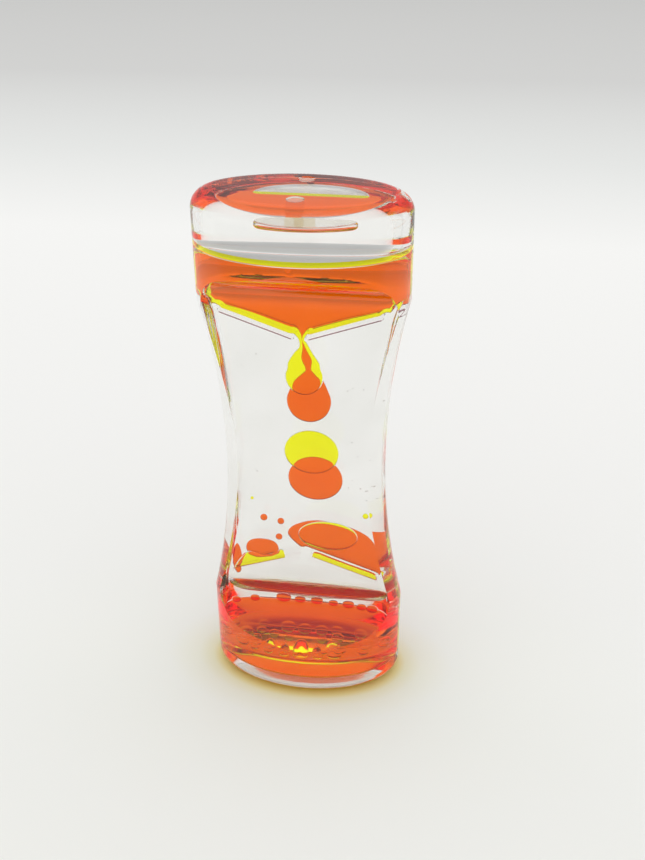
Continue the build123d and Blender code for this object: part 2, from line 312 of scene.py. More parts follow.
def form_surface(builder, form, sign, side_count=40, window_count=16, material=0):
    """The curved surface of a form's front or rear half. Returns its lowest and highest rows."""
    rows = []
    for z in form.heights():
        side, has_window = form.section(z, side_count)
        points = list(side)
        if has_window:
            edge = side[-1]
            for i in range(1, window_count):
                points.append((edge[0] * (1 - 2 * i / window_count), edge[1]))
        back = list(reversed(side))
        points += [(-x, y) for x, y in (back if has_window else back[1:])]
        verts = [builder.verts.new((x, sign * y, z)) for x, y in points]
        right = verts[: side_count + 1]
        left = verts[-side_count - 1:]
        window = verts[side_count:len(verts) - side_count]
        rows.append((right, window, left, verts))
    for lower, upper in zip(rows, rows[1:]):
        for part in (0, 2):
            for i in range(side_count):
                quad = (lower[part][i], lower[part][i + 1], upper[part][i + 1], upper[part][i])
                builder.faces.new(quad).material_index = material
        below, above = lower[1], upper[1]
        for i in range(max(len(below), len(above)) - 1):
            if len(below) == 1:
                corners = (below[0], above[i], above[i + 1])
            elif len(above) == 1:
                corners = (above[0], below[i], below[i + 1])
            else:
                corners = (below[i], below[i + 1], above[i + 1], above[i])
            builder.faces.new(corners).material_index = material
    return rows[0][3], rows[-1][3]


def loop_edges(builder, verts):
    """The edges of a closed loop of vertices, made where they are missing."""
    edges = []
    for a, b in zip(verts, verts[1:] + verts[:1]):
        edges.append(builder.edges.get((a, b)) or builder.edges.new((a, b)))
    return edges


def fill_flat(builder, edges, material):
    """Fills a flat region between closed loops, and returns its faces."""
    before = set(builder.faces)
    bmesh.ops.triangle_fill(builder, use_beauty=True, use_dissolve=False, edges=edges)
    faces = set(builder.faces) - before
    for face in faces:
        face.material_index = material
    return faces


def fill_openings(builder):
    """Fills what is still open, and returns its faces."""
    builder.edges.ensure_lookup_table()
    return fill_flat(builder, [e for e in builder.edges if e.is_boundary], 0)


def glue_ends(faces):
    """The joint is glued, and so unseen, where the end walls meet the divider."""
    for face in faces:
        z = face.calc_center_median().z
        if min(z, height - z) < end_wall:
            face.material_index = 2


def ring(builder, centre, radius, z, count=64):
    """A level circle of vertices."""
    verts = []
    for i in range(count):
        turn = i * (2 * math.pi / count)
        x = centre[0] + radius * math.cos(turn)
        y = centre[1] + radius * math.sin(turn)
        verts.append(builder.verts.new((x, y, z)))
    return verts


def band(builder, lower, upper, material=0):
    """Faces between two loops with the same number of vertices."""
    count = len(lower)
    for i in range(count):
        j = (i + 1) % count
        builder.faces.new((lower[i], lower[j], upper[j], upper[i])).material_index = material


# Materials. Noise scales are in features per metre, and the height of a ripple is in metres.

tint_scale = 90
casing_ripple_scale = 70
liquid_ripple_scale = 150
plug_grain_scale = 900
plug_ripple_scale = 1500
ripple_height = 0.00002


def start_material(name):
    """An empty node material and its tree."""
    material = bpy.data.materials.new(name)
    material.use_nodes = True
    tree = material.node_tree
    tree.nodes.clear()
    return material, tree


def add_node(tree, kind, inputs):
    """A node whose inputs get values, or links where another node's output is given."""
    node = tree.nodes.new("ShaderNode" + kind)
    for name, value in inputs.items():
        if isinstance(value, bpy.types.NodeSocket):
            tree.links.new(value, node.inputs[name])
        else:
            node.inputs[name].default_value = value
    return node


def object_noise(tree, scale, detail=3.0):
    """Noise in the piece's own space."""
    place = add_node(tree, "TexCoord", {}).outputs["Object"]
    noise = add_node(tree, "TexNoise", {"Scale": scale, "Detail": detail, "Vector": place})
    return noise.outputs["Fac"]


def tint(tree, scale, low_colour, high_colour):
    """A colour that varies a little from place to place."""
    ramp = add_node(tree, "ValToRGB", {"Fac": object_noise(tree, scale)})
    low, high = ramp.color_ramp.elements
    low.position = 0.3
    low.color = (*low_colour, 1)
    high.position = 0.7
    high.color = (*high_colour, 1)
    return ramp.outputs["Color"]


def wavy_normal(tree, scale):
    """The faint waviness of a moulded or liquid surface."""
    waves = object_noise(tree, scale, 1.0)
    bump = add_node(tree, "Bump", {"Strength": 1.0, "Distance": ripple_height, "Height": waves})
    return bump.outputs["Normal"]


def glass_material(name, ior, low_colour, high_colour, ripple_scale=0):
    """A clear surface: its tint varies a little, and it may be faintly wavy."""
    material, tree = start_material(name)
    colour = tint(tree, tint_scale, low_colour, high_colour)
    inputs = {"IOR": ior, "Roughness": 0.0, "Color": colour}
    if ripple_scale:
        inputs["Normal"] = wavy_normal(tree, ripple_scale)
    glass = add_node(tree, "BsdfGlass", inputs)
    add_node(tree, "OutputMaterial", {"Surface": glass.outputs["BSDF"]})
    return material


def unbent_material(name, low_colour, high_colour):
    """A surface between two clear things alike: it tints the light and leaves its path straight."""
    material, tree = start_material(name)
    colour = tint(tree, tint_scale, low_colour, high_colour)
    clear = add_node(tree, "BsdfTransparent", {"Color": colour})
    add_node(tree, "OutputMaterial", {"Surface": clear.outputs["BSDF"]})
    return material


def liquid_material(name, surface_low, surface_high, volume_colour, painted_glow_colour, painted_glow_strength):
    """Dyed water in oil: it tints what passes, not what it mirrors, and it gives off a little painted light
    of its own.
    """
    material, tree = start_material(name)
    colour = tint(tree, tint_scale, surface_low, surface_high)
    normal = wavy_normal(tree, liquid_ripple_scale)
    white = (1, 1, 1, 1)
    common = {"Roughness": 0.0, "Normal": normal}
    passing = add_node(tree, "BsdfRefraction", {"IOR": water_in_oil, "Color": colour, **common})
    mirrored = add_node(tree, "BsdfAnisotropic", {"Color": white, **common})
    share = add_node(tree, "Fresnel", {"IOR": water_in_oil, "Normal": normal})
    surface = add_node(tree, "MixShader", {
        "Fac": share.outputs["Fac"], 1: passing.outputs["BSDF"], 2: mirrored.outputs["BSDF"],
    })
    absorption = add_node(tree, "VolumeAbsorption", {
        "Color": (*volume_colour, 1), "Density": dye_density,
    })
    # Painted light: the volume glows by itself, whatever light falls on it.
    painted_glow_shader = add_node(tree, "Emission", {"Color": (*painted_glow_colour, 1), "Strength": painted_glow_strength})
    volume = add_node(tree, "AddShader", {
        0: absorption.outputs["Volume"], 1: painted_glow_shader.outputs["Emission"],
    })
    add_node(tree, "OutputMaterial", {
        "Surface": surface.outputs["Shader"], "Volume": volume.outputs["Shader"],
    })
    return material


def plug_material():
    """Pale, half clear moulded plastic."""
    material, tree = start_material("plug_plastic")
    shader = add_node(tree, "BsdfPrincipled", {
        "Roughness": 0.25,
        "IOR": plastic_in_air,
        "Transmission Weight": 0.6,
        "Base Color": tint(tree, plug_grain_scale, (0.80, 0.66, 0.56), (0.88, 0.76, 0.66)),
        "Normal": wavy_normal(tree, plug_ripple_scale),
    })
    add_node(tree, "OutputMaterial", {"Surface": shader.outputs["BSDF"]})
    return material


# The dye's density, and the strength of each liquid's painted glow of light, in parts per metre
dye_density = 150
yellow_painted_glow = 1.0
# The yellow's raised rim glows far more: a painted bright band of light along the liquid's top edge.
yellow_rim_painted_glow = 450.0
orange_painted_glow = 7.0
# Each liquid's two surface tints, its dye's colour in the volume, and the colour of its painted glow
yellow_dye_and_painted_glow = ((0.998, 0.993, 0.06), (1.0, 1.0, 0.08), (1.0, 0.998, 0.0), (1.0, 1.0, 0.0))
orange_dye_and_painted_glow = ((0.998, 0.40, 0.10), (1.0, 0.415, 0.11), (1.0, 0.93, 0.0), (1.0, 0.08, 0.0))

clear_outside = glass_material(
    "clear_outside", plastic_in_air, (0.99, 0.99, 0.99), (0.998, 0.998, 0.998), casing_ripple_scale
)
clear_wetted = glass_material(
    "clear_wetted", plastic_in_oil, (0.992, 0.992, 0.992), (0.999, 0.999, 0.999)
)
clear_joint = unbent_material("clear_joint", (0.95, 0.94, 0.93), (0.975, 0.97, 0.965))
clear_oil = unbent_material("clear_oil", (0.992, 0.992, 0.985), (0.998, 0.998, 0.994))
# A dark mauve sheet: painted shade along the end of each upper wing.
wing_painted_shade = unbent_material("wing_painted_shade", (0.34, 0.17, 0.19), (0.42, 0.22, 0.24))
wing_plastic = glass_material(
    "wing_plastic", plastic_in_oil, (0.985, 0.975, 0.975), (0.995, 0.985, 0.985)
)
air_surface = glass_material("air_surface", air_in_oil, (0.985, 0.985, 0.985), (1, 1, 1))
yellow_liquid = liquid_material("yellow_liquid", *yellow_dye_and_painted_glow, yellow_painted_glow)
orange_liquid = liquid_material("orange_liquid", *orange_dye_and_painted_glow, orange_painted_glow)
yellow_rim_painted_glow_liquid = liquid_material("yellow_rim_painted_glow_liquid", *yellow_dye_and_painted_glow, yellow_rim_painted_glow)
# Each half's liquid: its material and its slot
dyes = {-1: (yellow_liquid, "yellow_liquid"), 1: (orange_liquid, "orange_liquid")}
plug_plastic = plug_material()
plug_shank = unbent_material("plug_shank", (0.97, 0.94, 0.86), (0.985, 0.96, 0.89))


# The casing

# How many points go round a bubble's or a drop's outline
round_steps = 96


def half_shell(name, sign, replaced):
    """A half shell with its cavity, the joint face against the divider, and the plug's hole."""
    builder = bmesh.new()
    bottom, top = form_surface(builder, outside, sign, material=0)
    floor, ceiling = form_surface(builder, cavity, sign, material=1)
    builder.faces.new(bottom).material_index = 0
    builder.faces.new(floor).material_index = 1
    centre = (0, sign * plug_offset)
    upper = ring(builder, centre, plug_radius, outside.high)
    lower = ring(builder, centre, plug_radius, cavity.high)
    fill_flat(builder, loop_edges(builder, top) + loop_edges(builder, upper), 0)
    fill_flat(builder, loop_edges(builder, ceiling) + loop_edges(builder, lower), 1)
    band(builder, lower, upper, 2)
    glue_ends(fill_openings(builder))
    materials = [clear_outside, clear_wetted, clear_joint]
    return new_object(name, builder, materials, "filled_casing", replaced)


def divider():
    """The thin plate between the half shells: joined round its edge, wet with oil inside."""
    builder = bmesh.new()
    loops = {}
    for sign in (-1, 1):
        for form in (outside, cavity):
            right = [(form.half_width_at(z), z) for z in form.heights()]
            outline = right + [(-x, z) for x, z in reversed(right)]
            y = sign * (near_face - seam)
            loops[sign, form] = [builder.verts.new((x, y, z)) for x, z in outline]
    for sign in (-1, 1):
        outer = loop_edges(builder, loops[sign, outside])
        inner = loop_edges(builder, loops[sign, cavity])
        glue_ends(fill_flat(builder, outer + inner, 0))
        fill_flat(builder, inner, 1)
    band(builder, loops[-1, outside], loops[1, outside], 0)
    materials = [clear_outside, clear_wetted, clear_joint]
    return new_object(
        "divider_sheet", builder, materials, "filled_casing", ["divider_plate"]
    )


def oil_body(name, sign, replaced):
    """The clear oil, a hair inside the cavity's walls."""
    builder = bmesh.new()
    bottom, top = form_surface(builder, oil, sign, side_count=24, window_count=4)
    builder.faces.new(bottom)
    builder.faces.new(top)
    fill_openings(builder)
    return new_object(name, builder, [clear_oil], "filled_casing", replaced)


def wing(name, sign, upper, hand, replaced):
    """A strip with round long edges, from the divider to the window."""
    arc_steps = 16
    slope = 1 if upper else -1
    inner = upper_wing_height if upper else lower_wing_height
    middle = ((wing_inner + wing_outer) / 2, inner + (wing_thickness + slope * wing_rise) / 2)
    half = math.hypot(wing_run, wing_rise) / 2
    radius = wing_thickness / 2
    tilt = slope * wing_tilt
    outline = []
    for end in (1, -1):
        for i in range(arc_steps + 1):
            turn = math.pi * (i / arc_steps - 0.5) + (0 if end > 0 else math.pi)
            outline.append((end * half + radius * math.cos(turn), radius * math.sin(turn)))
    builder = bmesh.new()
    loops = []
    for y in (near_face + film, window_depth / 2 - wall - film):
        loop = []
        for along, across in outline:
            x = middle[0] + along * math.cos(tilt) - across * math.sin(tilt)
            z = middle[1] + along * math.sin(tilt) + across * math.cos(tilt)
            loop.append(builder.verts.new((hand * x, sign * y, z)))
        loops.append(loop)
    band(builder, loops[0], loops[1])
    builder.faces.new(loops[0])
    outer = loops[1]
    if upper:
        # A thin strip of painted shade along the end's lower edge, where the wing meets the window.
        rise = Vector((-hand * math.sin(tilt), 0, math.cos(tilt))) * wing_shade_height
        left, right = (builder.verts.new(outer[i].co + rise) for i in (-1, 0))
        builder.faces.new((outer[-1], outer[0], right, left)).material_index = 1
        builder.faces.new(outer + [left, right])
    else:
        builder.faces.new(outer)
    return new_object(name, builder, [wing_plastic, wing_painted_shade], "filled_casing", replaced)


def plug(name, sign, replaced):
    """A turned plug with a chamfer and a shallow dimple in its top."""
    high = height - 0.2
    low = height - end_wall + film
    radius = plug_radius - film
    profile = [
        (radius - 0.25, low),
        (radius, low + 0.25),
        (radius, high - 0.3),
        (radius - 0.08, high - 0.12),
        (radius - 0.3, high),
        (radius * 0.62, high),
        (radius * 0.5, high - 0.06),
        (radius * 0.3, high - 0.12),
        (radius * 0.1, high - 0.14),
    ]
    builder = bmesh.new()
    rings = [ring(builder, (0, sign * plug_offset), r, z, 48) for r, z in profile]
    for i, (lower, upper) in enumerate(zip(rings, rings[1:])):
        band(builder, lower, upper, 0 if i > 1 else 1)
    builder.faces.new(rings[0]).material_index = 1
    builder.faces.new(rings[-1])
    materials = [plug_plastic, plug_shank]
    return new_object(name, builder, materials, "filled_casing", replaced)


def bubble(name, sign, replaced):
    """A flat air bubble under the top wall."""
    centre_x, half_x, depth_y, thick = (front_bubble if sign < 0 else rear_bubble)[:4]
    top = height - end_wall - film
    # Each row: how far in from the outline, and how far down as a share of the thickness
    shoulder, belly, belly_rows = 0.42, 0.58, 12
    rows = [(0.3, 0.0), (0.15, 0.12), (0.05, 0.25), (0.0, shoulder)]
    for i in range(1, belly_rows + 1):
        turn = math.pi / 2 * i / belly_rows
        rows.append((thick * (1 - math.cos(turn)), shoulder + belly * math.sin(turn)))
    builder = bmesh.new()
    loops = []
    for inset, down in rows:
        loop = []
        for i in range(round_steps):
            turn = 2 * math.pi * i / round_steps if sign < 0 else math.pi * i / (round_steps - 1)
            x = centre_x + (half_x - inset) * math.cos(turn)
            if sign < 0:
                middle = cavity.depth_at(x, cavity.high - thick * 0.6) - front_bubble[4] - depth_y
            else:
                middle = near_face + film
            y = middle + (depth_y - inset) * math.sin(turn)
            loop.append(builder.verts.new((x, sign * y, top - down * thick)))
        loops.append(loop)
    for lower, upper in zip(loops, loops[1:]):
        band(builder, lower, upper)
    builder.faces.new(loops[0])
    builder.faces.new(loops[-1])
    return new_object(name, builder, [air_surface], "filled_casing", replaced)


# Liquids are drawn as outlines in x and z, with a thickness at each place

def smooth_line(points, steps=8, closed=False):
    """A smooth curve through points, from first to last."""
    count = len(points)
    line = []
    spans = count if closed else count - 1
    for i in range(spans):
        if closed:
            p = [points[(i + k) % count] for k in (-1, 0, 1, 2)]
        else:
            p = [points[max(0, min(count - 1, i + k))] for k in (-1, 0, 1, 2)]
        for step in range(steps):
            t = step / steps
            line.append(tuple(
                0.5 * (
                    2 * p[1][k]
                    + (p[2][k] - p[0][k]) * t
                    + (2 * p[0][k] - 5 * p[1][k] + 4 * p[2][k] - p[3][k]) * t**2
                    + (3 * p[1][k] - p[0][k] - 3 * p[2][k] + p[3][k]) * t**3
                )
                for k in (0, 1)
            ))
    if not closed:
        line.append(tuple(points[-1]))
    return line


def oval(x, z, wide, tall, point=2.0, tilt=0.0):
    """A drop's outline. A point above 2 makes its sides fuller, and a tilt lowers its right side."""
    outline = []
    for i in range(round_steps):
        turn = 2 * math.pi * i / round_steps
        across = math.copysign(abs(math.cos(turn)) ** (2 / point), math.cos(turn))
        up = math.copysign(abs(math.sin(turn)) ** (2 / point), math.sin(turn))
        across *= wide / 2
        up *= tall / 2
        outline.append((
            x + across * math.cos(tilt) + up * math.sin(tilt),
            z + up * math.cos(tilt) - across * math.sin(tilt),
        ))
    return outline


# The step along a liquid's outline, and the least gap between two points of a drawn outline
outline_step = 0.45
least_gap = 0.02

# Stand-ins for no length and for no limit
tiny = 1e-12
far_away = 1e9

# Edges of a liquid that turn more than this, in degrees, stay sharp
liquid_sharp_angle = 50


def respace(outline):
    """The same closed outline with even steps. Each point keeps the kind of its edge."""
    result = []
    count = len(outline)
    for i in range(count):
        a, b = outline[i], outline[(i + 1) % count]
        length = math.hypot(b[0] - a[0], b[1] - a[1])
        if length < 1e-6:
            continue
        parts = max(1, round(length / outline_step))
        for k in range(parts):
            t = k / parts
            result.append((a[0] + (b[0] - a[0]) * t, a[1] + (b[1] - a[1]) * t, a[2]))
    return result


def distance_to(points, starts, ends):
    """Each point's distance to the nearest of some edges."""
    along = ends - starts
    length = np.maximum((along**2).sum(1), tiny)
    best = np.full(len(points), far_away)
    for chunk in range(0, len(points), 2000):
        p = points[chunk:chunk + 2000]
        t = ((p[:, None, :] - starts[None]) * along[None]).sum(2) / length[None]
        t = np.clip(t, 0, 1)
        gap = p[:, None, :] - (starts[None] + t[:, :, None] * along[None])
        best[chunk:chunk + 2000] = np.sqrt((gap**2).sum(2).min(1))
    return best


def inside(points, polygon):
    """Which points lie inside a polygon."""
    x, z = points[:, 0], points[:, 1]
    result = np.zeros(len(points), bool)
    ax, az = polygon[:, 0], polygon[:, 1]
    bx, bz = np.roll(ax, -1), np.roll(az, -1)
    for i in range(len(polygon)):
        crosses = (az[i] > z) != (bz[i] > z)
        at = ax[i] + (z - az[i]) * (bx[i] - ax[i]) / np.where(bz[i] == az[i], tiny, bz[i] - az[i])
        result ^= crosses & (x < at)
    return result


def rise_share(gap, rounding, power):
    """How much of its full thickness a liquid has at a distance from its edge."""
    away = 1 - np.clip(gap / rounding, 0, 1)
    return (1 - away**power) ** (1 / power)


# How far inwards a liquid grows to its full thickness, and how square it does so, for each
# kind of edge
rounding = {
    "free": (1.9, 2.0),
    "wall": (0.2, 2.0),
    "thin": (0.7, 2.0),
    "side": (1.4, 2.0),
    "flat_top": (0.25, 2.0),
    "tight_top": (1.3, 4.0),
    "round_top": (3.0, 2.6),
}


# A liquid's flat net: its rows' step as a share of the grid, how far the grid keeps off the rings
# along the edge, how much of its own gap a ring's point keeps, and the thinnest the liquid may be
row_share = 0.87
ring_margin = 0.4
kept_share = 0.93
thinnest = 0.02


def liquid(name, sign, outline, body, replaced, far_side=None, grid=0.8):
    """A closed liquid body. The outline's points are (x, z, kind of edge)."""
    outline = respace(outline)
    flat = np.array([(p[0], p[1]) for p in outline])
    kinds = np.array([p[2] for p in outline])
    if (flat[:, 0] * np.roll(flat[:, 1], -1) - np.roll(flat[:, 0], -1) * flat[:, 1]).sum() < 0:
        flat = flat[::-1].copy()
        kinds = np.roll(kinds[::-1], -1)
    ends = np.roll(flat, -1, axis=0)
    tangent = ends - flat
    tangent /= np.linalg.norm(tangent, axis=1)[:, None]
    turned = tangent + np.roll(tangent, 1, axis=0)
    turned /= np.maximum(np.linalg.norm(turned, axis=1), 1e-9)[:, None]
    inward = np.stack([-turned[:, 1], turned[:, 0]], axis=1)
    points = [flat]
    present = sorted(set(kinds))
    for kind in present:
        reach = rounding[kind][0]
        chosen = (kinds == kind) & (np.roll(kinds, 1) == kind)
        count = 3 if kind == "wall" else 9
        for k in range(1, count + 1):
            gap = reach * (1 - math.cos(math.pi / 2 * k / count))
            ringed = flat[chosen] + inward[chosen] * gap
            near = distance_to(ringed, flat, ends)
            points.append(ringed[(near > gap * kept_share) & inside(ringed, flat)])
    low, high = flat.min(0), flat.max(0)
    xs = np.arange(low[0], high[0], grid)
    zs = np.arange(low[1], high[1], grid * row_share)
    mesh_x, mesh_z = np.meshgrid(xs, zs)
    mesh_x = mesh_x + (np.arange(len(zs)) % 2)[:, None] * grid / 2
    spread = np.stack([mesh_x.ravel(), mesh_z.ravel()], axis=1)
    deep = inside(spread, flat)
    for kind in present:
        away = distance_to(spread, flat[kinds == kind], ends[kinds == kind])
        deep &= away > rounding[kind][0] + grid * ring_margin
    points.append(spread[deep])
    every = np.concatenate(points)
    count = len(flat)
    edges = [(i, (i + 1) % count) for i in range(count)]
    result = delaunay_2d_cdt([Vector(p) for p in every], edges, [], 0, 1e-5, False)
    flat_verts = np.array([(v.x, v.y) for v in result[0]])
    share = np.ones(len(flat_verts))
    for kind in present:
        away = distance_to(flat_verts, flat[kinds == kind], ends[kinds == kind])
        share = np.minimum(share, rise_share(away, *rounding[kind]))
    builder = bmesh.new()
    fronts, backs = [], []
    near = near_face + film
    for (x, z), part in zip(flat_verts, share):
        far = far_side(x, z) if far_side else window_depth / 2 - wall - film
        far = max(far, near + thinnest)
        middle, half = (near + far) / 2, (far - near) / 2 * part
        front = builder.verts.new((x, sign * (middle + half), z))
        fronts.append(front)
        backs.append(front if part < 1e-3 else builder.verts.new((x, sign * (middle - half), z)))
    middles = np.array([flat_verts[list(face)].mean(0) for face in result[2]])
    for face, kept in zip(result[2], inside(middles, flat)):
        if not kept:
            continue
        for sheet in (fronts, backs):
            corners = [sheet[i] for i in face]
            if sheet is backs and all(a is b for a, b in zip(corners, [fronts[i] for i in face])):
                continue
            if len(set(corners)) == len(corners) and not builder.faces.get(corners):
                builder.faces.new(corners)
    material, slot = dyes[sign]
    return new_object(name, builder, [material], body, replaced, liquid_sharp_angle)


def far_wall(x, z):
    """The cavity's front or rear wall, less the film of oil on it."""
    return cavity.depth_at(x, z) - film


def wing_top(upper, x):
    """The height of a wing's upper side."""
    slope = wing_rise / wing_run if upper else -wing_rise / wing_run
    inner = upper_wing_height if upper else lower_wing_height
    middle = inner + wing_thickness / 2 + slope * (abs(x) - wing_inner - wing_thickness / 2)
    return middle + wing_thickness / 2 / math.cos(wing_tilt)


def marked(points, kind):
    """The same points, each with the kind of its edge."""
    return [(p[0], p[1], kind) for p in points]


# How far each upper pool's side stays off the narrow corner between the wall and the divider
yellow_side_gap = 0.3
orange_side_gap = 1.6


def upper_pool_outline(level, side_gap, neck_left, drop, neck_right):
    """A pool on the funnel, with its neck and the drop that hangs from it."""
    ledge = height - ledge_height
    rows = np.linspace(level, ledge + 0.1, 24)
    side = [(cavity.half_width_at(z) - side_gap, z) for z in rows]
    ledge_x = ledge_half_width - 0.6
    end_x = wing_outer - 0.35
    end = (end_x, wing_top(True, end_x) + film)
    bulge = smooth_line(
        [(ledge_x, ledge), (ledge_x - 1.1, ledge - 2.2), (end_x + 0.9, end[1] + 0.6), end], 6
    )
    inner_x = wing_inner + wing_thickness * 0.35
    inner = (inner_x, wing_top(True, inner_x) + film - 0.02)
    left = [(-x, z) for x, z in side]
    outline = marked(left, "side")
    outline += marked([(-ledge_x, ledge)] + [(-x, z) for x, z in bulge][1:], "free")
    outline += marked([(-end[0], end[1])], "wall")
    hanging = [(-inner[0], inner[1])] + neck_left + drop + neck_right + [inner]
    outline += marked(smooth_line(hanging), "free")
    outline[-1] = (*outline[-1][:2], "wall")
    outline += marked(list(reversed(bulge)), "free")
    outline += marked(list(reversed(side)), "side")
    cleaned = [outline[0]]
    for p in outline[1:]:
        if math.hypot(p[0] - cleaned[-1][0], p[1] - cleaned[-1][1]) > least_gap:
            cleaned.append(p)
        else:
            cleaned[-1] = p
    return top_rounded(cleaned, "flat_top")


def top_rounded(outline, top):
    """Marks the edges along an outline's top, and rounds the top's corners."""
    level = max(p[1] for p in outline)
    widest = max(abs(p[0]) for p in outline if p[1] > level - 0.1)
    drop, reach, steps, slack = 2.5, 4.0, 12, 0.2
    result = []
    for x, z, kind in outline:
        if z > level - drop:
            z = level - drop
        if not result or math.hypot(x - result[-1][0], z - result[-1][1]) > least_gap:
            result.append((x, z, kind))
    corners = []
    for i, p in enumerate(result):
        follower = result[(i + 1) % len(result)]
        corners.append(p)
        is_level = abs(p[1] - (level - drop)) < slack and abs(follower[1] - p[1]) < slack
        if is_level and p[0] * follower[0] < 0:
            hand = math.copysign(1, p[0])
            arc = []
            for k in range(1, steps + 1):
                turn = math.pi / 2 * k / steps
                arc.append((widest - reach * (1 - math.cos(turn)), level - drop + drop * math.sin(turn)))
            corners[-1] = (p[0], p[1], top)
            corners += [(hand * x, z, top) for x, z in arc[:-1]]
            corners.append((hand * (widest - reach), level, top))
            corners += [(-hand * x, z, top) for x, z in reversed(arc)]
    return corners


def lower_pool_outline(level, top):
    """A pool that fills the casing's foot up to a level."""
    rows = np.linspace(end_wall + film, level, 24)
    side = [(cavity.half_width_at(z) - film, z) for z in rows]
    outline = marked([(-side[0][0], side[0][1])], "wall") + marked(side, "wall")
    outline[-1] = (*outline[-1][:2], "free")
    outline += marked([(-x, z) for x, z in reversed(side)], "wall")
    return top_rounded(outline[:-1], top)


def lower_drop_points(x, z, wide, tall):
    """A hanging drop's outline from its neck's left side round to its right side."""
    neck_turn, steps = 1.1, 14
    points = []
    for i in range(steps + 1):
        turn = math.pi / 2 + neck_turn + (2 * math.pi - 2 * neck_turn) * i / steps
        points.append((x + wide / 2 * math.cos(turn), z + tall / 2 * math.sin(turn)))
    return points


liquid(
    "yellow_pool_above", -1,
    upper_pool_outline(
        yellow_upper_level, yellow_side_gap,
        [(-0.65, 100.4), (-0.5, 98.5), (-1.8, 96.8), (-3.2, 94.4)],
        lower_drop_points(0.65, 90.6, 9.2, 9.4),
        [(4.4, 94.4), (3.0, 96.7), (1.67, 99.2), (1.0, 100.4)],
    ),
    "filled_casing", ["yellow_upper_pool"],
    far_side=far_wall, grid=0.6,
)


def raised_rim():
    """The yellow's upper edge, drawn up the front wall a little all along."""
    steps = 8
    builder = bmesh.new()
    sheets = []
    for i in range(steps + 1):
        up = rim_rise * i / steps
        z = yellow_upper_level + 2 * film + up
        side = cavity.section(z, 60)[0]
        wall_line = side + [(-x, y) for x, y in reversed(side[:-1])]
        thick = rim_thickness * (1 - i / steps) ** 2 + 0.02
        outer, inner = [], []
        for k, (x, y) in enumerate(wall_line):
            before = wall_line[max(k - 1, 0)]
            after = wall_line[min(k + 1, len(wall_line) - 1)]
            length = math.hypot(after[0] - before[0], after[1] - before[1])
            away = ((after[1] - before[1]) / length, (before[0] - after[0]) / length)
            for sheet, gap in ((outer, film), (inner, film + thick)):
                sheet.append(builder.verts.new((x - away[0] * gap, -(y - away[1] * gap), z)))
        sheets.append((outer, inner))
    for (low_outer, low_inner), (high_outer, high_inner) in zip(sheets, sheets[1:]):
        for low, high in ((low_outer, high_outer), (low_inner, high_inner)):
            for k in range(len(low) - 1):
                builder.faces.new((low[k], low[k + 1], high[k + 1], high[k]))
        for k in (0, -1):
            builder.faces.new((low_outer[k], low_inner[k], high_inner[k], high_outer[k]))
    for outer, inner in (sheets[0], sheets[-1]):
        for k in range(len(outer) - 1):
            builder.faces.new((outer[k], outer[k + 1], inner[k + 1], inner[k]))
    # Its liquid glows strongly: a painted bright band of light along the yellow's edge.
    return new_object(
        "yellow_raised_rim", builder, [yellow_rim_painted_glow_liquid], "filled_casing", [],
        liquid_sharp_angle,
    )


raised_rim()
liquid(
    "orange_pool_above", 1,
    upper_pool_outline(
        orange_upper_level, orange_side_gap,
        [(-0.4, 99.4), (-0.42, 97.6), (-0.65, 96.0), (-0.6, 93.6), (0.2, 91.6), (0.2, 90.6),
         (-0.8, 89.5), (-2.6, 87.6)],
        lower_drop_points(1.2, 82.45, 11.2, 11.5),
        [(4.9, 88.0), (3.1, 89.5), (2.0, 90.8), (2.1, 92.1), (2.4, 93.8), (1.45, 95.9),
         (0.65, 97.7), (0.3, 98.9)],
    ),
    "filled_casing", ["orange_upper_pool"],
    far_side=far_wall, grid=0.6,
)
liquid(
    "yellow_pool_below", -1, lower_pool_outline(yellow_lower_level, "tight_top"),
    "filled_casing", ["yellow_lower_pool"], far_side=far_wall, grid=0.6,
)
liquid(
    "orange_pool_below", 1, lower_pool_outline(orange_lower_level, "round_top"),
    "filled_casing", ["orange_lower_pool"], far_side=far_wall, grid=0.6,
)
for piece, sign, outline, body, node in (
    ("yellow_free_drop", -1, oval(2.2, 69.9, 13.8, 12.1, tilt=0.08), "yellow_drop", "yellow_falling_drop"),
    ("orange_free_drop", 1, oval(2.6, 60.3, 14.2, 12.5, tilt=0.08), "orange_drop", "orange_falling_drop"),
    ("yellow_sinking_drop", -1, oval(6.2, 45.0, 15.5, 8.6), "yellow_landing", "yellow_landing_drop"),
):
    liquid(piece, sign, marked(outline, "free"), body, [node])


def on_wing(points):
    """An outline lifted where it would reach into a lower wing."""
    return [(x, max(z, wing_top(False, x) + film) if abs(x) < wing_outer else z) for x, z in points]


mass_points = [
    (-4.9, 42.7), (-3.0, 45.6), (3.2, 47.5), (11.6, 46.0), (16.6, 43.4), (18.8, 40.4), (19.9, 36.8),
    (20.2, 33.4), (19.8, 31.8), (19.2, 31.6), (10.0, 34.6), (2.4, 37.2), (-1.2, 38.6),
]
liquid(
    "orange_mass", 1, marked(on_wing(smooth_line(mass_points, 8, closed=True)), "free"),
    "filled_casing", ["orange_right_mass"], far_side=far_wall,
)
liquid(
    "orange_blob", 1, marked(on_wing(oval(-11.9, 37.3, 9.0, 5.9, point=2.3)), "free"),
    "filled_casing", ["orange_left_blob"],
)
liquid(
    "orange_edge_blob", 1, marked(oval(-18.9, 33.4, 2.8, 9.4), "free"),
    "filled_casing", ["orange_side_blob"], far_side=far_wall,
)


def puddle_points(thickness):
    """Liquid lying on a lower wing, from its thickness at some places sideways."""
    low = [(x, wing_top(False, x) + film) for x, thick in thickness]
    high = [(x, wing_top(False, x) + film + thick) for x, thick in thickness]
    top = smooth_line(high, 6)
    return low + list(reversed(top))[1:-1]


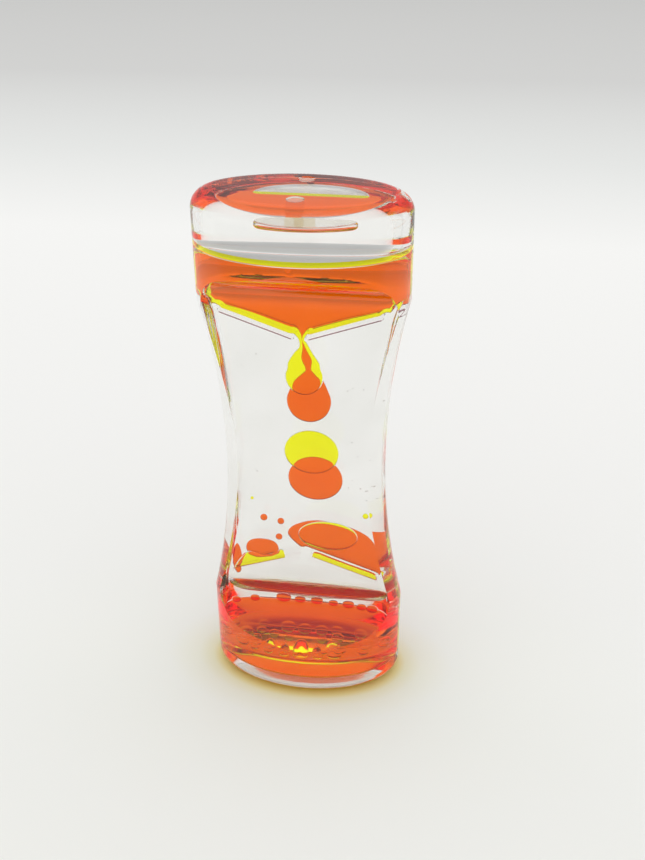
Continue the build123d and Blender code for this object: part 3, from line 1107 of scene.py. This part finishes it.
liquid(
    "yellow_film_left", -1,
    marked(puddle_points([
        (-19.2, 0.05), (-18.6, 1.1), (-17.2, 2.9), (-15.6, 4.0), (-13.6, 3.6), (-11.5, 2.2),
        (-9.4, 1.5), (-8.0, 1.9), (-6.8, 2.5), (-5.6, 1.9), (-4.9, 0.05),
    ]), "thin"),
    "filled_casing", ["yellow_left_puddle"],
)
liquid(
    "yellow_film_right", -1,
    marked(puddle_points([
        (1.9, 0.05), (2.4, 0.9), (4.0, 1.3), (8.0, 1.2), (13.0, 1.2), (17.5, 1.3), (18.9, 1.0), (19.2, 0.05),
    ]), "thin"),
    "filled_casing", ["yellow_right_puddle"],
)


def round_drops(name, drops, material, body, replaced, rings=12, sides=20):
    """Small near-round drops, each a closed lathe of its own."""
    builder = bmesh.new()
    for x, y, z, radius, squash in drops:
        loops = []
        for i in range(1, rings):
            turn = math.pi * i / rings
            level = z - radius * squash * math.cos(turn)
            loops.append(ring(builder, (x, y), radius * math.sin(turn), level, sides))
        for lower, upper in zip(loops, loops[1:]):
            band(builder, lower, upper)
        for loop, end in ((loops[0], -1), (loops[-1], 1)):
            tip = builder.verts.new((x, y, z + end * radius * squash))
            for i in range(sides):
                builder.faces.new((loop[i], loop[(i + 1) % sides], tip))
    return new_object(name, builder, [material], body, replaced, sharp_angle=60)


channel_middle = (near_face + window_depth / 2 - wall) / 2
round_drops(
    "orange_small_drops",
    [(-11.2, channel_middle, 47.2, 1.0, 1), (-6.7, channel_middle, 46.4, 0.95, 1),
     (-7.3, channel_middle, 41.4, 0.95, 1)],
    orange_liquid, "orange_satellites", ["orange_satellite_drops"],
)
round_drops(
    "yellow_small_drops",
    [(15.9, -channel_middle, 52.1, 0.8, 1), (-13.4, -channel_middle, 55.0, 0.45, 1)],
    yellow_liquid, "yellow_satellites", ["yellow_satellite_drops"],
)


speck_count = 26
speck_seed = 5


def specks():
    """Tiny air bubbles that hang in the oil on both sides of the falling drops."""
    draw = random.Random(speck_seed)
    places = []
    for i in range(speck_count):
        x = draw.choice((-1, 1)) * draw.uniform(10.5, 16.5)
        z = draw.uniform(54, 97)
        places.append((x, draw.choice((-1, 1)) * channel_middle, z, draw.uniform(0.09, 0.16), 1))
    return places


round_drops("tiny_bubbles", specks(), air_surface, "filled_casing", [], rings=8, sides=12)


def bead_places(sign, level, rows, count, radius, swing, reach):
    """Rows of settled beads along the curved wall, then inwards."""
    wall_gap, row_pitch = 0.2, 2.15
    places = []
    widest = radius + swing
    for row in range(rows):
        half_width = width / 2 - wall - widest - wall_gap - row * row_pitch * radius
        half_depth = reach - widest - wall_gap - row * row_pitch * radius
        if half_depth < near_face + widest:
            break
        number = count - 3 * row
        for i in range(number):
            turn = math.pi * (i + 0.5 + 0.35 * (row % 2)) / number
            size = radius + swing * math.cos(number * turn * turn + 2 * row)
            x = half_width * math.cos(turn)
            y = half_depth * math.sin(turn)
            spot = Vector((x, sign * y, level + 0.05 + size * 0.9))
            if y > near_face + size and all((spot - Vector(p[:3])).length > size + p[3] for p in places):
                places.append((spot.x, spot.y, spot.z, size, 0.9))
    return places


round_drops(
    "yellow_beads", bead_places(-1, yellow_lower_level, 3, 15, 1.75, 0.45, cavity.half_depth),
    yellow_liquid, "filled_casing", ["yellow_settled_beads"],
)
round_drops(
    "orange_beads", bead_places(1, orange_lower_level, 2, 14, 1.8, 0.5, cavity.window_reach(18.5)),
    orange_liquid, "filled_casing", ["orange_settled_beads"],
)

half_shell("front_clear_shell", -1, ["front_shell"])
half_shell("rear_clear_shell", 1, ["rear_shell"])
divider()
for sign, place in ((-1, "front"), (1, "rear")):
    plug(f"{place}_plug", sign, [f"{place}_fill_plug"])
    bubble(f"{place}_bubble", sign, [f"{place}_air_bubble"])
    oil_body(f"{place}_oil", sign, [f"{place}_clear_oil"])
    for upper, pair in ((True, "upper"), (False, "lower")):
        for hand, hand_name in ((-1, "left"), (1, "right")):
            node = f"{place}_{pair}_{hand_name}_wing"
            wing(f"{node}_strip", sign, upper, hand, [node])


# Floor, light and camera

# The floor's painted shade from front to back, in metres: a painted shadow band in front, brightest round
# the foot and darker far off;
# and its painted glow of yellow light by distance from the foot, where 1 is the foot's own outline
floor_painted_shade = [
    (-0.5, (0.66, 0.66, 0.63)), (-0.28, (0.52, 0.52, 0.50)), (-0.15, (0.60, 0.60, 0.57)),
    (-0.095, (0.88, 0.885, 0.85)), (0.12, (0.905, 0.905, 0.887)), (0.35, (0.93, 0.93, 0.913)),
    (0.52, (0.80, 0.81, 0.795)), (0.8, (0.655, 0.655, 0.645)), (1.4, (0.59, 0.59, 0.58)),
]
floor_painted_glow = [
    (0.0, (0.95, 0.60, 0.12)), (0.85, (0.95, 0.64, 0.15)), (1.0, (1.0, 0.86, 0.45)),
    (1.08, (1.0, 0.96, 0.74)), (1.25, (1.0, 0.99, 0.90)), (1.6, (1.0, 1.0, 0.98)),
    (4.0, (1.0, 1.0, 1.0)),
]

# In metres: half the floor's side, and how far it lies below the base
floor_half = 4.0
floor_gap = 0.00005


def fitted_ramp(tree, value, colours):
    """A colour that follows a value from the first listed place to the last."""
    start, end = colours[0][0], colours[-1][0]
    fit = add_node(tree, "MapRange", {"From Min": start, "From Max": end, "Value": value})
    ramp = add_node(tree, "ValToRGB", {"Fac": fit.outputs["Result"]})
    points = ramp.color_ramp.elements
    for at, colour in colours[1:-1]:
        points.new((at - start) / (end - start)).color = (*colour, 1)
    points[0].color = (*colours[0][1], 1)
    points[-1].color = (*colours[-1][1], 1)
    return ramp.outputs["Color"]


def floor():
    """A pale floor with painted shade from front to back, and painted yellow light round the foot."""
    mesh = bpy.data.meshes.new("floor")
    half = floor_half
    mesh.from_pydata(
        [(-half, -half, 0), (half, -half, 0), (half, half, 0), (-half, half, 0)], [], [(0, 1, 2, 3)]
    )
    plane = bpy.data.objects.new("floor", mesh)
    plane.location.z = -floor_gap
    bpy.context.scene.collection.objects.link(plane)
    material, tree = start_material("pale_floor_painted_light")
    place = add_node(tree, "TexCoord", {}).outputs["Object"]
    split = add_node(tree, "SeparateXYZ", {"Vector": place})
    foot = add_node(tree, "VectorMath", {0: place, 1: (width / 2 * MM, depth / 2 * MM, 1)})
    foot.operation = "DIVIDE"
    away = add_node(tree, "VectorMath", {0: foot.outputs["Vector"]})
    away.operation = "LENGTH"
    # Painted light: the shade from front to back, times the painted yellow glow round the foot.
    painted_floor_light = add_node(tree, "MixRGB", {
        "Fac": 1.0,
        "Color1": fitted_ramp(tree, split.outputs["Y"], floor_painted_shade),
        "Color2": fitted_ramp(tree, away.outputs["Value"], floor_painted_glow),
    })
    painted_floor_light.blend_type = "MULTIPLY"
    shader = add_node(tree, "BsdfDiffuse", {"Color": painted_floor_light.outputs["Color"]})
    add_node(tree, "OutputMaterial", {"Surface": shader.outputs["BSDF"]})
    mesh.materials.append(material)


# The sky's brightness by the upward part of the direction, all round and straight behind
sky_levels = [(0.0, 0.8), (0.3, 0.9), (0.6, 1.0), (0.85, 1.1), (1.0, 1.1)]
back_levels = [
    (0.0, 0.75), (0.12, 0.62), (0.3, 0.48), (0.45, 0.55), (0.65, 1.0), (0.85, 1.1), (1.0, 1.1),
]
back_start = 0.35
back_end = 0.75


def sky():
    """A bright room with a greyer backdrop."""
    world = bpy.data.worlds.new("studio")
    bpy.context.scene.world = world
    world.use_nodes = True
    tree = world.node_tree
    tree.nodes.clear()
    place = add_node(tree, "TexCoord", {}).outputs["Generated"]
    split = add_node(tree, "SeparateXYZ", {"Vector": place})
    rounds, back = (
        fitted_ramp(tree, split.outputs["Z"], [(at, (level,) * 3) for at, level in levels])
        for levels in (sky_levels, back_levels)
    )
    turned = add_node(tree, "MapRange", {
        "From Min": back_start, "From Max": back_end, "Value": split.outputs["Y"],
    })
    turned.interpolation_type = "SMOOTHSTEP"
    mix = add_node(tree, "MixRGB", {
        "Fac": turned.outputs["Result"], "Color1": rounds, "Color2": back,
    })
    light = add_node(tree, "Background", {"Color": mix.outputs["Color"], "Strength": 1.0})
    add_node(tree, "OutputWorld", {"Surface": light.outputs["Background"]})


def camera():
    """The camera that took the photo, as fitted to it."""
    data = bpy.data.cameras.new("photo_camera")
    data.sensor_fit = "HORIZONTAL"
    data.sensor_width = sensor_width
    data.lens = sensor_width * focal_px / image_width_px
    data.clip_start = 0.01
    data.clip_end = 20
    shooter = bpy.data.objects.new("photo_camera", data)
    bpy.context.scene.collection.objects.link(shooter)
    across = Vector((math.cos(camera_yaw), math.sin(camera_yaw), 0))
    ahead = Vector((-math.sin(camera_yaw), math.cos(camera_yaw), 0))
    look = ahead * math.cos(camera_pitch) - Vector((0, 0, math.sin(camera_pitch)))
    up = across.cross(look)
    right = across * math.cos(camera_roll) - up * math.sin(camera_roll)
    up = across * math.sin(camera_roll) + up * math.cos(camera_roll)
    place = across * camera_side - ahead * camera_distance + Vector((0, 0, camera_height))
    turned = Matrix((right, up, -look)).transposed().to_4x4()
    shooter.matrix_world = Matrix.Translation(place * MM) @ turned
    bpy.context.scene.camera = shooter


floor()
sky()
camera()

scene = bpy.context.scene
scene.view_settings.view_transform = "Standard"
scene.cycles.max_bounces = 32
scene.cycles.transmission_bounces = 32
scene.cycles.glossy_bounces = 8
scene.cycles.diffuse_bounces = 3
scene.cycles.transparent_max_bounces = 32
